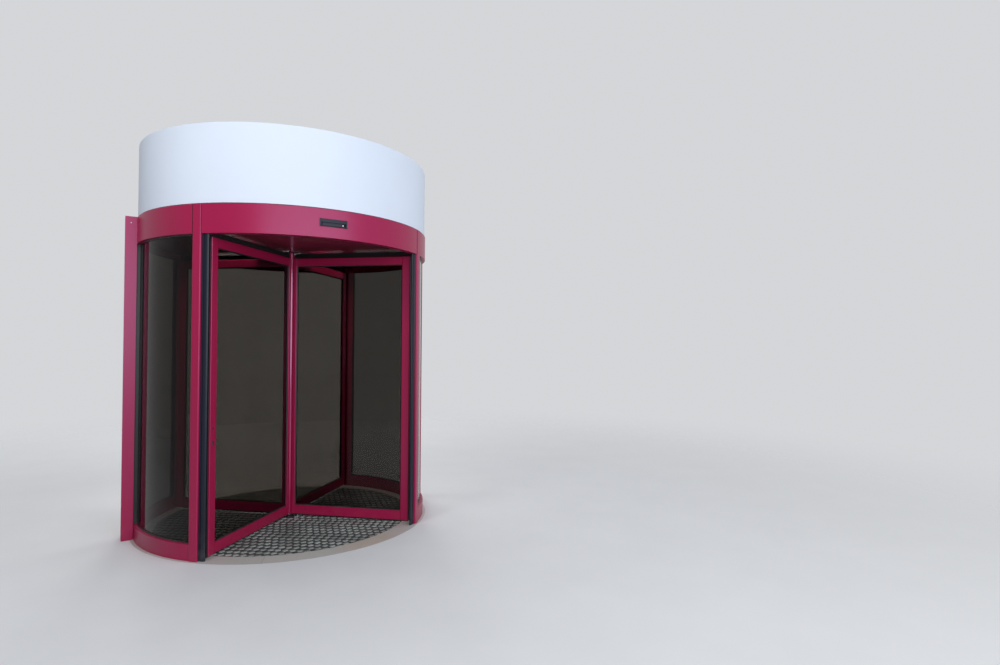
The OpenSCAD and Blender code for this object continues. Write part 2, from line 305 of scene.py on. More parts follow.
toneGroup = makeToneGroup()
dustGroup = makeDustGroup()
reliefGroup = makeReliefGroup()
plainFinish = {  # what a finish has where it says nothing else
    "drift": 0.06, "driftStretch": (2, 2, 1), "dust": 0.0, "dustColor": (0.36, 0.33, 0.31),
    "dustHeight": 0.35, "dustRough": 0.6, "grain": 0.0001, "grainStretch": 700, "wave": 0.0,
    "waveStretch": 5, "shader": {}, "roughFrom": 0.85, "roughTo": 1.15,
}


def newMaterial(name):
    material = bpy.data.materials.new(name)
    material.use_nodes = True
    material.node_tree.nodes.clear()
    return material, material.node_tree


def coverWith(tree, values):  # the principled shader with these inputs
    shader = addNode(tree, "ShaderNodeBsdfPrincipled", values)
    setInputs(tree, tree.nodes.new("ShaderNodeOutputMaterial"), {"Surface": shader})


def evenly(stretch):  # one number stands for all three axes
    return stretch if isinstance(stretch, tuple) else (stretch,) * 3


def toneNode(tree, s):
    values = {"Color": (*s["color"], 1), "Stretch": evenly(s["driftStretch"]), "Amount": s["drift"]}
    return addNode(tree, "ShaderNodeGroup", values, None, node_tree=toneGroup)


def reliefNode(tree, s):
    values = {"Grain": s["grain"], "Wave": s["wave"]}
    values.update({"Grain Stretch": evenly(s["grainStretch"]), "Wave Stretch": evenly(s["waveStretch"])})
    return addNode(tree, "ShaderNodeGroup", values, node_tree=reliefGroup)


def newFinish(name, settings):
    # colour with drift, dust at the foot, varied roughness and a two-scale relief
    s = {**plainFinish, **settings}
    material, tree = newMaterial(name)
    tone = toneNode(tree, s)
    dust = addNode(tree, "ShaderNodeGroup", {
        "Color": tone["Color"], "Dust": (*s["dustColor"], 1), "Height": s["dustHeight"], "Amount": s["dust"],
    }, None, node_tree=dustGroup)
    rough = mapRange(tree, tone["Mask"], 0.0, 1.0, s["rough"] * s["roughFrom"], s["rough"] * s["roughTo"])
    dusty = addMath(tree, "MULTIPLY_ADD", dust["Mask"], s["dustRough"], rough, use_clamp=True)
    look = {"Base Color": dust["Color"], "Roughness": dusty, "Normal": reliefNode(tree, s)}
    coverWith(tree, {**s["shader"], **look})
    return material


crimson = {
    "color": (0.330, 0.0065, 0.052), "drift": 0.05, "driftStretch": (2.5, 2.5, 0.8), "dust": 0.03,
    "dustHeight": 0.2, "grainStretch": 900,
}
# the paint's reflections are tinted lilac: painted sky colour in its sheen
paintedSkySheenTint = (0.85, 0.62, 1.0, 1)
finishes = {
    "crimsonPaint": {
        **crimson, "rough": 0.36, "grain": 0.00004, "wave": 0.0009, "waveStretch": (3, 3, 2.2),
        "shader": {"Specular IOR Level": 0.56, "Specular Tint": paintedSkySheenTint, "Coat Weight": 0.06,
                   "Coat Roughness": 0.2},
    },
    "shaftPaint": {  # the turned shaft, with a deeper gloss
        **crimson, "rough": 0.2, "grain": 0.00003, "wave": 0.0003, "waveStretch": (3, 3, 1.2),
        "shader": {"Specular IOR Level": 1.0, "Specular Tint": paintedSkySheenTint, "Coat Weight": 0.5,
                   "Coat Roughness": 0.1},
    },
    "blackRubber": {
        "color": (0.006, 0.009, 0.018), "drift": 0.15, "dust": 0.10, "dustHeight": 0.25, "rough": 0.32,
        "grain": 0.00006, "grainStretch": (600, 600, 4), "wave": 0.0004, "waveStretch": (20, 20, 1),
        "shader": {"Specular IOR Level": 0.3},
    },
    "gasketRubber": {
        "color": (0.008, 0.008, 0.010), "drift": 0.2, "dust": 0.15, "dustHeight": 0.25, "rough": 0.45,
        "grain": 0.00005,
    },
    "brushBristle": {
        "color": (0.008, 0.008, 0.009), "drift": 0.3, "driftStretch": 60, "dust": 0.08, "dustHeight": 0.08,
        "rough": 0.5,
    },
    "brushHolder": {
        "color": (0.03, 0.03, 0.032), "drift": 0.1, "rough": 0.4, "grain": 0.00003,
        "shader": {"Metallic": 0.6},
    },
    "stoneGrout": {
        "color": (0.20, 0.185, 0.17), "drift": 0.2, "driftStretch": 40, "rough": 0.85, "grain": 0.0002,
    },
    "glossCeiling": {
        "color": (0.23, 0.026, 0.052), "drift": 0.08, "rough": 0.2, "grain": 0.0, "wave": 0.0006,
        "waveStretch": 2, "shader": {"Specular IOR Level": 0.12},
    },
    "bareSteel": {
        "color": (0.55, 0.56, 0.58), "drift": 0.08, "rough": 0.33, "grain": 0.00005,
        "grainStretch": (30, 900, 900), "shader": {"Metallic": 1.0},
    },
    "darkSteel": {
        "color": (0.10, 0.10, 0.11), "drift": 0.15, "driftStretch": 80, "rough": 0.35, "grain": 0.00003,
        "shader": {"Metallic": 0.9},
    },
    "blackSteel": {
        "color": (0.016, 0.016, 0.018), "drift": 0.15, "driftStretch": 80, "rough": 0.7, "grain": 0.00003,
        "shader": {"Specular IOR Level": 0.02},
    },
    "zincSheet": {
        "color": (0.50, 0.52, 0.54), "drift": 0.16, "driftStretch": 18, "rough": 0.42, "grain": 0.0001,
        "grainStretch": 200, "wave": 0.001, "waveStretch": 4, "shader": {"Metallic": 1.0},
    },
    "sensorCase": {
        "color": (0.014, 0.019, 0.032), "drift": 0.08, "rough": 0.36, "grain": 0.00005,
        "shader": {"Specular IOR Level": 0.25},
    },
    "sensorWindow": {
        "color": (0.008, 0.011, 0.020), "drift": 0.05, "rough": 0.25, "grain": 0.0,
        "shader": {"Specular IOR Level": 0.2},
    },
    # a small lens dome whose white paints a glint
    "lensPaintedGlint": {
        "color": (0.85, 0.87, 0.90), "drift": 0.02, "rough": 0.1, "grain": 0.0,
        "shader": {"Coat Weight": 0.8, "Coat Roughness": 0.03},
    },
    # pale plaster; its blue cast is painted skylight
    "plasterPaintedSkyCast": {
        "color": (0.70, 0.755, 0.84), "drift": 0.02, "driftStretch": 1.5, "rough": 0.75, "grain": 0.0002,
        "grainStretch": 220, "wave": 0.0015, "waveStretch": 6,
    },
    # dark crimson, the fascia's crimson in shade: painted shade on the strips beside the posts, and the
    # colour of the bead under the upstand
    "beadAndSeamShade": {
        "color": (0.075, 0.007, 0.022), "drift": 0.2, "driftStretch": 30, "rough": 0.5, "grain": 0.0002,
        "grainStretch": 120,
    },
    "matBase": {
        "color": (0.050, 0.052, 0.048), "drift": 0.3, "driftStretch": 25, "rough": 0.8, "grain": 0.0003,
    },
    # one rubber in two tones: the top links painted lit, the lower cross links painted in shade
    "matLinkLitTop": {
        "color": (0.270, 0.278, 0.262), "drift": 0.5, "driftStretch": 4, "rough": 0.42, "grain": 0.00025,
        "grainStretch": 300,
    },
    "matLinkShadedLow": {
        "color": (0.105, 0.110, 0.100), "drift": 0.4, "driftStretch": 9, "rough": 0.5, "grain": 0.00025,
        "grainStretch": 300,
    },
}
made = {name: newFinish(name, settings) for name, settings in finishes.items()}


def newGlass(name, s):
    material, tree = newMaterial(name)
    coverWith(tree, {
        "Transmission Weight": 1.0, "Roughness": s["rough"], "IOR": s["bend"],
        "Base Color": toneNode(tree, s)["Color"], "Normal": reliefNode(tree, s),
    })
    return material


paneGlass = {
    "drift": 0.04, "driftStretch": (1.5, 1.5, 0.7), "rough": 0.0, "bend": 1.22, "grain": 0.0,
    "grainStretch": 1, "waveStretch": (2, 2, 3),
}
glasses = {
    "drumGlass": {**paneGlass, "color": (0.15, 0.145, 0.134), "wave": 0.0006},
    "wingGlass": {**paneGlass, "color": (0.26, 0.246, 0.228), "wave": 0.0004},
}
made.update({name: newGlass(name, settings) for name, settings in glasses.items()})

ringStone = {
    "color": (0.52, 0.49, 0.455), "warm": (0.53, 0.45, 0.385), "stones": 8,
    "warmAngle": -72.0,  # middle of the warm stretch, in degrees
    "warmFull": 6.0, "warmGone": 17.0, "toneSpread": 0.07, "cloud": 0.07, "cloudScale": 9.0,
    "speckle": 0.20, "grainScale": 260.0, "rough": 0.36, "roughShares": (0.8, 1.3), "relief": 0.00012,
}


def makeRingStone(s):
    # every stone of the ring has its own tone, with a fine speckle all over
    material, tree = newMaterial("ringStone")
    place = objectPlace(tree)
    parts = axesOf(tree, place)
    angle = addMath(tree, "ARCTAN2", parts["Y"], parts["X"])
    number = addMath(tree, "ROUND", addMath(tree, "MULTIPLY", angle, s["stones"] / (2 * pi)))
    wrapped = addMath(tree, "FLOORED_MODULO", number, float(s["stones"]))
    chance = addNode(tree, "ShaderNodeTexWhiteNoise", {"W": wrapped}, "Value", noise_dimensions="1D")
    away = addMath(tree, "ABSOLUTE", addMath(tree, "SUBTRACT", angle, radians(s["warmAngle"])))
    warm = mapRange(tree, away, radians(s["warmGone"]), radians(s["warmFull"]), kind="SMOOTHSTEP")
    stone = mixColor(tree, warm, (*s["color"], 1), (*s["warm"], 1))
    grains = noiseAt(tree, place, s["grainScale"], 4.0, 0.7)
    tone = mapRange(tree, chance, 0.0, 1.0, 1 - s["toneSpread"] / 2, 1 + s["toneSpread"] / 2)
    speckle = mapRange(tree, grains, 0.3, 0.7, 1 - s["speckle"], 1 + s["speckle"])
    clouds = noiseAt(tree, place, s["cloudScale"], 4.0)
    cloud = mapRange(tree, clouds, 0.0, 1.0, 1 - s["cloud"], 1 + s["cloud"])
    value = addMath(tree, "MULTIPLY", addMath(tree, "MULTIPLY", tone, speckle), cloud)
    coverWith(tree, {
        "Base Color": addNode(tree, "ShaderNodeHueSaturation", {"Value": value, "Color": stone}),
        "Roughness": mapRange(tree, grains, 0.0, 1.0, *(s["rough"] * share for share in s["roughShares"])),
        "Normal": addNode(tree, "ShaderNodeBump", {"Distance": s["relief"], "Height": grains}),
    })
    return material


made["ringStone"] = makeRingStone(ringStone)
print("finishes made")

nodeFinishes = [  # the first row whose text is in a node's name
    ("central_shaft", "shaftPaint"), ("floor_ring", "ringStone"), ("entrance_mat", "matBase"),
    ("floor_pivot", "darkSteel"), ("ceiling_bearing", "blackSteel"), ("canopy_deck", "zincSheet"),
    ("safety_strips", "blackRubber"), ("wall_glass", "drumGlass"), ("_glass", "wingGlass"),
    # the mullions take the near-black gasket finish, so the line beside the jambs shows dark
    ("_seals", "brushBristle"), ("mullions", "gasketRubber"), ("ceiling_panel", "glossCeiling"),
    ("sensors", "sensorCase"), ("upstand", "plasterPaintedSkyCast"), ("", "crimsonPaint"),
]


def dressNodes():
    for name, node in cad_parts.items():
        finish = next(f for part, f in nodeFinishes if part in name)
        if not node.material_slots:
            node.data.materials.append(None)
        for slot in node.material_slots:
            slot.material = made[finish]
        if finish == "drumGlass":
            node.visible_shadow = False  # the lamps shine through the panes of the drum


dressNodes()
print("nodes dressed")


# Geometry Nodes helpers
def growthTree(name, inputs):  # geometry goes in and out, and the last input is the finish
    shape = {"Geometry": "Geometry"}
    return newTree("GeometryNodeTree", name, {**shape, **inputs, "Finish": "Material"}, shape)


def pointVector(tree, name):  # what seedMesh put on the points
    values = {"Name": name}
    return addNode(tree, "GeometryNodeInputNamedAttribute", values, "Attribute", data_type="FLOAT_VECTOR")


def randomVector(tree, low, high, seed):
    return addNode(tree, "FunctionNodeRandomValue", {0: low, 1: high, "Seed": seed}, data_type="FLOAT_VECTOR")


def randomValue(tree, low, high, seed):
    return addNode(tree, "FunctionNodeRandomValue", {2: low, 3: high, "Seed": seed}, 1, data_type="FLOAT")


def readShape(tree, holder):
    return addNode(tree, "GeometryNodeObjectInfo", {"Object": holder}, "Geometry")


def alongVector(tree, vector):  # a turn that points Z along the vector
    return addNode(tree, "FunctionNodeAlignRotationToVector", {"Vector": vector}, axis="Z")


def realCopies(tree, values):
    copies = addNode(tree, "GeometryNodeInstanceOnPoints", values)
    return addNode(tree, "GeometryNodeRealizeInstances", {0: copies})


def paintOut(tree, given, result, shape):
    painted = addNode(tree, "GeometryNodeSetMaterial", {"Geometry": shape, "Material": given["Finish"]})
    setInputs(tree, result, {0: painted})


def seedMesh(name, points, edges, label, vectors):  # points that carry a vector for a tree
    mesh = bpy.data.meshes.new(name)
    mesh.from_pydata(points, edges, [])
    attribute = mesh.attributes.new(label, "FLOAT_VECTOR", "POINT")
    attribute.data.foreach_set("vector", [c for vector in vectors for c in vector])
    return mesh


def grownPiece(name, base, tree, values, body):
    # runs a tree on a base mesh and keeps the result as a plain mesh; a mesh in values goes in as an object
    values = {k: addObject(k, v) if isinstance(v, bpy.types.Mesh) else v for k, v in values.items()}
    grower = addObject("grower", base)
    modifier = grower.modifiers.new("grow", "NODES")
    modifier.node_group = tree
    for item in tree.interface.items_tree:
        if item.item_type == "SOCKET" and item.in_out == "INPUT" and item.name in values:
            modifier[item.identifier] = values[item.name]
    bpy.context.view_layer.update()
    shown = grower.evaluated_get(bpy.context.evaluated_depsgraph_get())
    mesh = bpy.data.meshes.new_from_object(shown)
    mesh.name = name
    grower.modifiers.remove(modifier)
    for holder in [grower] + [v for v in values.values() if isinstance(v, bpy.types.Object)]:
        bpy.data.objects.remove(holder)
    return newPiece(name, mesh, None, body)


# Link mat: two layers of staggered links over a dark base, trimmed round; the top links are painted lighter
# and the lower cross links darker, painted light and shade on one rubber
linkMat = {
    "pitch": 0.054,  # along a row
    "row": 0.062,  # from row to row
    "rowTurn": -38.0,  # degrees, as the two below
    "linkTurn": 38.0,
    "crossTurn": -52.0,
    "linkLength": 0.042,
    "linkWidth": 0.033,
    "linkHeight": 0.0065,
    "crossWidth": 0.55,  # shares of a link's width and height
    "crossHeight": 0.6,
    "sides": 12,
    "corner": 0.55,  # the power that squares a link's round ends
    "waist": 0.12,
    "levels": ((1.0, 0.0), (1.0, 0.6), (0.93, 0.86), (0.8, 1.0)),  # shares of outline and height
    "wobble": (0.05, 0.05, 0.16),  # radians
    "overRim": 0.004,  # links whose middle lies further out go
    "clearHole": 0.008,  # and so do those nearer to the hole
    "baseTop": 0.004,
    "sunk": 0.001,  # how deep the links stand in the base
    "edgeGap": 0.003,
    "hole": 0.074,
    "baseSteps": 96,
    "seed": 7,
}


def linkShape(m, width, height):
    # a bar with round ends, a waist and a crowned top, open below
    shape = bmesh.new()
    length = m["linkLength"]
    outline = []
    for angle in circleAngles(m["sides"]):
        c, s = cos(angle), sin(angle)
        x = copysign(abs(c) ** m["corner"], c) * length / 2
        pinch = 1 - m["waist"] * (1 - (2 * x / length) ** 2)
        outline.append((x, copysign(abs(s) ** m["corner"], s) * width / 2 * pinch))
    rings = [[shape.verts.new((x * share, y * share, z * height)) for x, y in outline]
             for share, z in m["levels"]]
    for low, high in zip(rings, rings[1:]):
        for j in range(m["sides"]):
            k = (j + 1) % m["sides"]
            shape.faces.new((low[j], low[k], high[k], high[j]))
    shape.faces.new(rings[-1])
    return closeMesh(shape, "link")


def linkTree(m):
    tree, given, result = growthTree("linkMatTree", {
        "Radius": "Float", "Hole": "Float", "Pitch": "Float", "Row": "Float", "Row Turn": "Float",
        "Slide": "Float", "Base Height": "Float", "Link Turn": "Float", "Seed": "Int", "Link": "Object",
    })

    def calc(kind, *terms):
        return addMath(tree, kind, *terms)

    across = calc("MULTIPLY", given["Radius"], 2.0)
    sizes = {}
    for axis, step in (("X", "Pitch"), ("Y", "Row")):
        count = calc("ADD", calc("CEIL", calc("DIVIDE", across, given[step])), 3.0)
        sizes["Vertices " + axis] = count
        sizes["Size " + axis] = calc("MULTIPLY", calc("SUBTRACT", count, 1.0), given[step])
    grid = addNode(tree, "GeometryNodeMeshGrid", sizes)
    # every second row moves along by half a pitch
    place = addNode(tree, "GeometryNodeInputPosition")
    rowNumber = calc("ROUND", calc("DIVIDE", axesOf(tree, place)["Y"], given["Row"]))
    halfStep = calc("ABSOLUTE", calc("MODULO", rowNumber, 2.0))
    shift = calc("MULTIPLY", calc("MULTIPLY", halfStep, given["Pitch"]), 0.5)
    offset = combine(tree, X=calc("ADD", shift, given["Slide"]))
    moved = addNode(tree, "GeometryNodeSetPosition", {"Geometry": grid, "Offset": offset})
    # points outside the mat or over the pivot plate go
    reach = vectorMath(tree, "LENGTH", place, out="Value")
    outside = calc("GREATER_THAN", reach, calc("ADD", given["Radius"], m["overRim"]))
    inside = calc("LESS_THAN", reach, calc("ADD", given["Hole"], m["clearHole"]))
    points = addNode(tree, "GeometryNodeDeleteGeometry", {
        "Geometry": moved, "Selection": calc("MAXIMUM", outside, inside),
    })
    wobble = randomVector(tree, [-w for w in m["wobble"]], m["wobble"], given["Seed"])
    links = realCopies(tree, {
        "Points": points,
        "Instance": readShape(tree, given["Link"]),
        "Rotation": vectorMath(tree, "ADD", wobble, combine(tree, Z=given["Link Turn"])),
    })
    turned = addNode(tree, "GeometryNodeTransform", {
        "Geometry": links, "Rotation": combine(tree, Z=given["Row Turn"]),
        "Translation": combine(tree, Z=given["Base Height"]),
    })
    # what reaches past the round edges is pressed back to them
    radius = vectorMath(tree, "LENGTH", vectorMath(tree, "MULTIPLY", place, (1, 1, 0)), out="Value")
    held = calc("MAXIMUM", calc("MINIMUM", radius, given["Radius"]), given["Hole"])
    share = calc("DIVIDE", held, radius)
    pressed = vectorMath(tree, "MULTIPLY", place, combine(tree, X=share, Y=share, Z=1.0))
    trimmed = addNode(tree, "GeometryNodeSetPosition", {"Geometry": turned, "Position": pressed})
    paintOut(tree, given, result, trimmed)
    return tree


def makeLinkMat(m):
    matRadius = ringInner - m["edgeGap"]
    base = bmesh.new()
    fullRing(base, oblong(m["hole"], matRadius, 0.0, m["baseTop"]), m["baseSteps"])
    basePiece = shapePiece("entranceMatBase", base, "matBase", "drum")
    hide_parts("entrance_mat")
    tree = linkTree(m)
    layers = [  # name, finish, shares of width, height and pitch, turn
        ("entranceMatLinks", "matLinkLitTop", 1.0, 1.0, 0.0, m["linkTurn"]),
        ("entranceMatCrossLinks", "matLinkShadedLow", m["crossWidth"], m["crossHeight"], 0.5, m["crossTurn"]),
    ]
    for name, finish, width, height, slide, turn in layers:
        values = {
            "Radius": matRadius, "Hole": m["hole"], "Pitch": m["pitch"], "Row": m["row"],
            "Row Turn": radians(m["rowTurn"]), "Slide": m["pitch"] * slide,
            "Base Height": m["baseTop"] - m["sunk"], "Link Turn": radians(turn), "Seed": m["seed"],
            "Link": linkShape(m, m["linkWidth"] * width, m["linkHeight"] * height), "Finish": made[finish],
        }
        links = grownPiece(name, bpy.data.meshes.new("seedMesh"), tree, values, "drum")
        print(name, len(links.data.polygons), "faces")


makeLinkMat(linkMat)
print("link mat made")

# Brush seals: a folded holder and dense bristles along three edges of every wing
brushSeal = {
    "holderHalf": 0.008, "holderDeep": 0.006, "holderWall": 0.0016,
    "lip": 2.4,  # in walls, as the two below
    "groove": 2.6, "floor": 1.5, "spacing": 0.0024, "rowHalf": 0.0022, "thick": 0.0016,
    "spread": 0.10,
    "shortest": 0.93,  # share of a bristle's full length
    "tip": 0.985,  # share of the seal's reach that the bristles fill
    "core": 0.0012,  # half the thickness of the flat strip inside the bristles
    "coreReach": 0.93, "coreTaper": 0.6, "seed": 11,
}


def bristleTree(b):
    tree, given, result = growthTree("bristleTree", {
        "Spacing": "Float", "Thickness": "Float", "Spread": "Float", "Seed": "Int",
    })
    line = addNode(tree, "GeometryNodeMeshToCurve", {"Mesh": given["Geometry"]})
    grow = pointVector(tree, "grow")
    lean = randomVector(tree, (-1, -1, -1), (1, 1, 1), given["Seed"])
    leaned = vectorMath(tree, "MULTIPLY_ADD", lean, given["Spread"], vectorMath(tree, "NORMALIZE", grow))
    cut = randomValue(tree, b["shortest"], 1.0, given["Seed"])
    tall = addMath(tree, "MULTIPLY", vectorMath(tree, "LENGTH", grow, out="Value"), cut)
    bristles = realCopies(tree, {
        "Points": addNode(tree, "GeometryNodeResampleCurve", {"Curve": line, "Length": given["Spacing"]},
                          mode="LENGTH"),
        "Instance": addNode(tree, "GeometryNodeMeshCone",
                            {"Vertices": 3, "Radius Top": 0.35, "Radius Bottom": 0.5, "Depth": 1.0}),
        "Rotation": alongVector(tree, leaned),
        "Scale": combine(tree, X=given["Thickness"], Y=given["Thickness"], Z=tall),
    })
    paintOut(tree, given, result, bristles)
    return tree


def wingSpace(wing):  # (along the wing, across it, up) to the object's space
    matrix = Matrix.Rotation(radians(wingTurns[wing]), 3, "Z")
    return lambda u, v, z: matrix @ Vector((u, v, z))


def sealLines(wing):
    # start, end and outward reach of the three brushes, in the wing's own frame
    frameLow, frameHigh = wingBox(wing, "stiles")
    sealLow, sealHigh = wingBox(wing, "seals")
    side, low, high = frameHigh.x, frameLow.z, frameHigh.z
    return [
        (Vector((side, 0, low)), Vector((side, 0, high)), Vector((sealHigh.x - side, 0, 0))),
        (Vector((sealLow.x, 0, high)), Vector((side, 0, high)), Vector((0, 0, sealHigh.z - high))),
        (Vector((sealLow.x, 0, low)), Vector((side, 0, low)), Vector((0, 0, sealLow.z - low))),
    ]


def makeBrushes(wing, tree, b):
    toSpace = wingSpace(wing)
    points, edges, grows = [], [], []
    holder = bmesh.new()
    half, wall, deep, core = b["holderHalf"], b["holderWall"], b["holderDeep"], b["core"]
    lip, groove, floor = [wall * b[part] for part in ("lip", "groove", "floor")]
    section = [(-half, 0), (half, 0), (half, wall), (half - wall, deep), (half - lip, deep),
               (half - groove, floor), (groove - half, floor), (lip - half, deep), (wall - half, deep),
               (-half, wall)]
    for start, end, reach in sealLines(wing):
        outwards = reach.normalized()
        grow = reach * b["tip"] - outwards * deep * 0.5
        for side in (-b["rowHalf"], b["rowHalf"]):
            for place in (start, end):
                root = place + outwards * deep * 0.5
                points.append(toSpace(root.x, side, root.z))
                grows.append(toSpace(grow.x / 2, 0, grow.z / 2) * 2)
            edges.append((len(points) - 2, len(points) - 1))
        thin, tall = core * b["coreTaper"], reach.length * b["coreReach"]
        flat = [(-core, wall), (core, wall), (thin, tall), (-thin, tall)]
        for outline in (section, flat):
            rings = [[holder.verts.new(toSpace(*(place + outwards * out + Vector((0, across, 0)))))
                      for across, out in outline] for place in (start, end)]
            bridgeRings(holder, rings, False)
    values = {"Spacing": b["spacing"], "Thickness": b["thick"], "Spread": b["spread"],
              "Seed": b["seed"] + wing, "Finish": made["brushBristle"]}
    seeds = seedMesh("bristleSeeds", points, edges, "grow", grows)
    name = f"wing{wing}Bristles"
    bristles = grownPiece(name, seeds, tree, values, "rotor")
    shapePiece(f"wing{wing}BrushHolders", holder, "brushHolder", "rotor")
    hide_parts(f"wing_{wing}_seals")
    return len(bristles.data.polygons)


brushTree = bristleTree(brushSeal)
print("bristle faces", sum(makeBrushes(wing, brushTree, brushSeal) for wing in wingTurns))

# Glazing gaskets: a soft lip round every pane, on both faces
gasket = {
    "lip": 0.008,  # over the glass
    "deep": 0.0048,  # out from the glass
    "back": 0.0005,  # into the frame
    "crown": ((0.35, 1.0), (0.75, 0.7), (1.0, 0.22)),  # shares of lip and deep
    "wingRebate": 0.012, "edgeGap": 0.001, "paneSteps": 20,
}


def gasketSection(g):
    lip, deep, back = g["lip"], g["deep"], g["back"]
    crown = [(lip * across, deep * out) for across, out in g["crown"]]
    return [(-back, 0.0), (-back, deep), *crown, (lip, 0.0)]


def makeWingGaskets(wing, g):
    glassLow, glassHigh = wingBox(wing, "glass")
    toSpace = wingSpace(wing)
    edge = g["wingRebate"] - g["edgeGap"]
    low = (glassLow.x + edge, glassLow.z + g["wingRebate"])
    high = (glassHigh.x - edge, glassHigh.z - edge)
    shape = bmesh.new()
    for face, side in ((glassLow.y, -1), (glassHigh.y, 1)):
        mitredLoop(shape, low, high, gasketSection(g),
                   lambda u, v, out: toSpace(u, face + side * out, v), (1, 1))
    shapePiece(f"wing{wing}Gaskets", shape, "gasketRubber", "rotor")


def angleSpan(name):
    angles = [atan2(p.y, p.x) for p in nodePoints(name)]
    if max(angles) - min(angles) > pi:
        angles = [a % (2 * pi) for a in angles]
    return min(angles), max(angles)


def makeWallGaskets(pane, rail, g):
    fromAngle, toAngle = angleSpan(pane)
    low, high = fromAngle - g["edgeGap"] / paneInner, toAngle + g["edgeGap"] / paneInner
    middle = (low + high) / 2
    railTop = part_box(rail)[1].z
    shape = bmesh.new()
    for radius, side in ((paneInner, -1), (paneOuter, 1)):
        foot, head = ((low - middle) * radius, railTop), ((high - middle) * radius, fasciaLow)
        mitredLoop(shape, foot, head, gasketSection(g),
                   lambda u, v, out: polar(radius + side * out, middle + u / radius, v), (g["paneSteps"], 1))
    shapePiece(pane + "_gaskets", shape, "gasketRubber", "drum")


for wing in wingTurns:
    makeWingGaskets(wing, gasket)
for half in ("front_left", "front_right", "back_right", "back_left"):
    makeWallGaskets("wall_glass_" + half, "wall_rail_" + half.split("_")[1], gasket)
print("gaskets made")

# Dark joint lines: a dark bead under the upstand, dark crimson strips beside the posts that paint the shade
# of the gaps there, grout in the ring
jointLine = {
    "beadHigh": 0.006, "beadProud": 0.0008, "beadDeep": 0.002, "seamWide": 0.0045,
    "seamProud": 0.0008, "seamDeep": 0.001,
    "seamEnd": 0.003,  # short of the fascia's edges
    "groutHalf": 0.0012, "groutInset": 0.001, "groutDrop": 0.0008, "steps": 180,
}


def postAngles():  # the fascia-side ends of the four posts, in degrees
    ends = []
    for name in ("post_front_left", "post_front_right", "post_back_right", "post_back_left"):
        low, high = angleSpan(name)
        ends += [(degrees(low), -1), (degrees(high), 1)]
    return ends


def makeJointLines(j):
    shape = bmesh.new()
    inner, outer = upstandOuter - j["beadDeep"], upstandOuter + j["beadProud"]
    low, high = fasciaHigh, fasciaHigh + j["beadHigh"]
    section = [(inner, low), (outer, low), (outer, low + j["beadHigh"] * 0.7),
               (upstandOuter, high), (inner, high)]
    fullRing(shape, section, j["steps"])
    # thin dark strips on the fascia beside each post: painted shade where the fascia meets the post
    inner, outer = fasciaOuter - j["seamDeep"], fasciaOuter + j["seamProud"]
    low, high = fasciaLow + j["seamEnd"], fasciaHigh - j["seamEnd"]
    for angle, side in postAngles():
        wide = degrees(j["seamWide"] / fasciaOuter) * side
        arcBar(shape, oblong(inner, outer, low, high), angle, angle + wide, 1)
    shapePiece("jointLines", shape, "beadAndSeamShade", "drum")
    grout = bmesh.new()
    inner, outer = ringInner + j["groutInset"], ringOuter - j["groutInset"]
    low, high = j["groutInset"], floorTop - j["groutDrop"]
    wide = degrees(j["groutHalf"] / ringOuter)
    for i in range(ringStone["stones"]):
        angle = -90 + (i + 0.5) * 360 / ringStone["stones"]
        arcBar(grout, oblong(inner, outer, low, high), angle - wide, angle + wide, 1)
    shapePiece("ringGrout", grout, "stoneGrout", "drum")


makeJointLines(jointLine)
print("joint lines made")

# Motion sensors: a curved case with end caps, a dark window and a small signal lens, white to paint a glint
sensorHousing = {
    "back": 0.001,  # into the fascia
    "capWide": 0.007, "corner": 0.004,
    "bodyInset": 0.0022,  # the body stands back from the end caps
    "bodyEdge": 0.0015,
    "visorLow": 0.24,  # shares of the case's height, down from its top
    "visorEdge": 0.18, "visorBack": 0.14,
    "windowHigh": 0.58,  # shares of the case's height, up from its foot
    "windowLow": 0.12, "windowInset": 0.0008, "windowCorner": 0.002, "lensHeight": 0.30,
    "lensRadius": 0.0045, "lensFromEnd": 0.024, "lensInset": 0.0014, "lensDome": 0.0012,
    "lensRises": (0.0, 0.35, 0.7, 0.9), "lensSides": 16, "steps": 12,
    "bodyFrom": 0.8,  # in caps from the end
    "windowFrom": 1.3,
}


def roundedSection(inner, outer, low, high, corner):
    turns = (pi / 8, pi / 4, 3 * pi / 8)
    points = [(inner, low), (outer - corner, low)]
    points += [(outer - corner + corner * sin(a), low + corner - corner * cos(a)) for a in turns]
    points += [(outer, low + corner), (outer, high - corner)]
    points += [(outer - corner + corner * cos(a), high - corner + corner * sin(a)) for a in turns]
    points += [(outer - corner, high), (inner, high)]
    return points


def sensorSpan(side):  # angles and heights of one sensor of the CAD pair
    points = [p for p in nodePoints("sensors") if p.y * side > 0]
    angles = [degrees(atan2(p.y, p.x)) for p in points]
    heights = [p.z for p in points]
    reach = max(hypot(p.x, p.y) for p in points)
    return min(angles), max(angles), min(heights), max(heights), reach


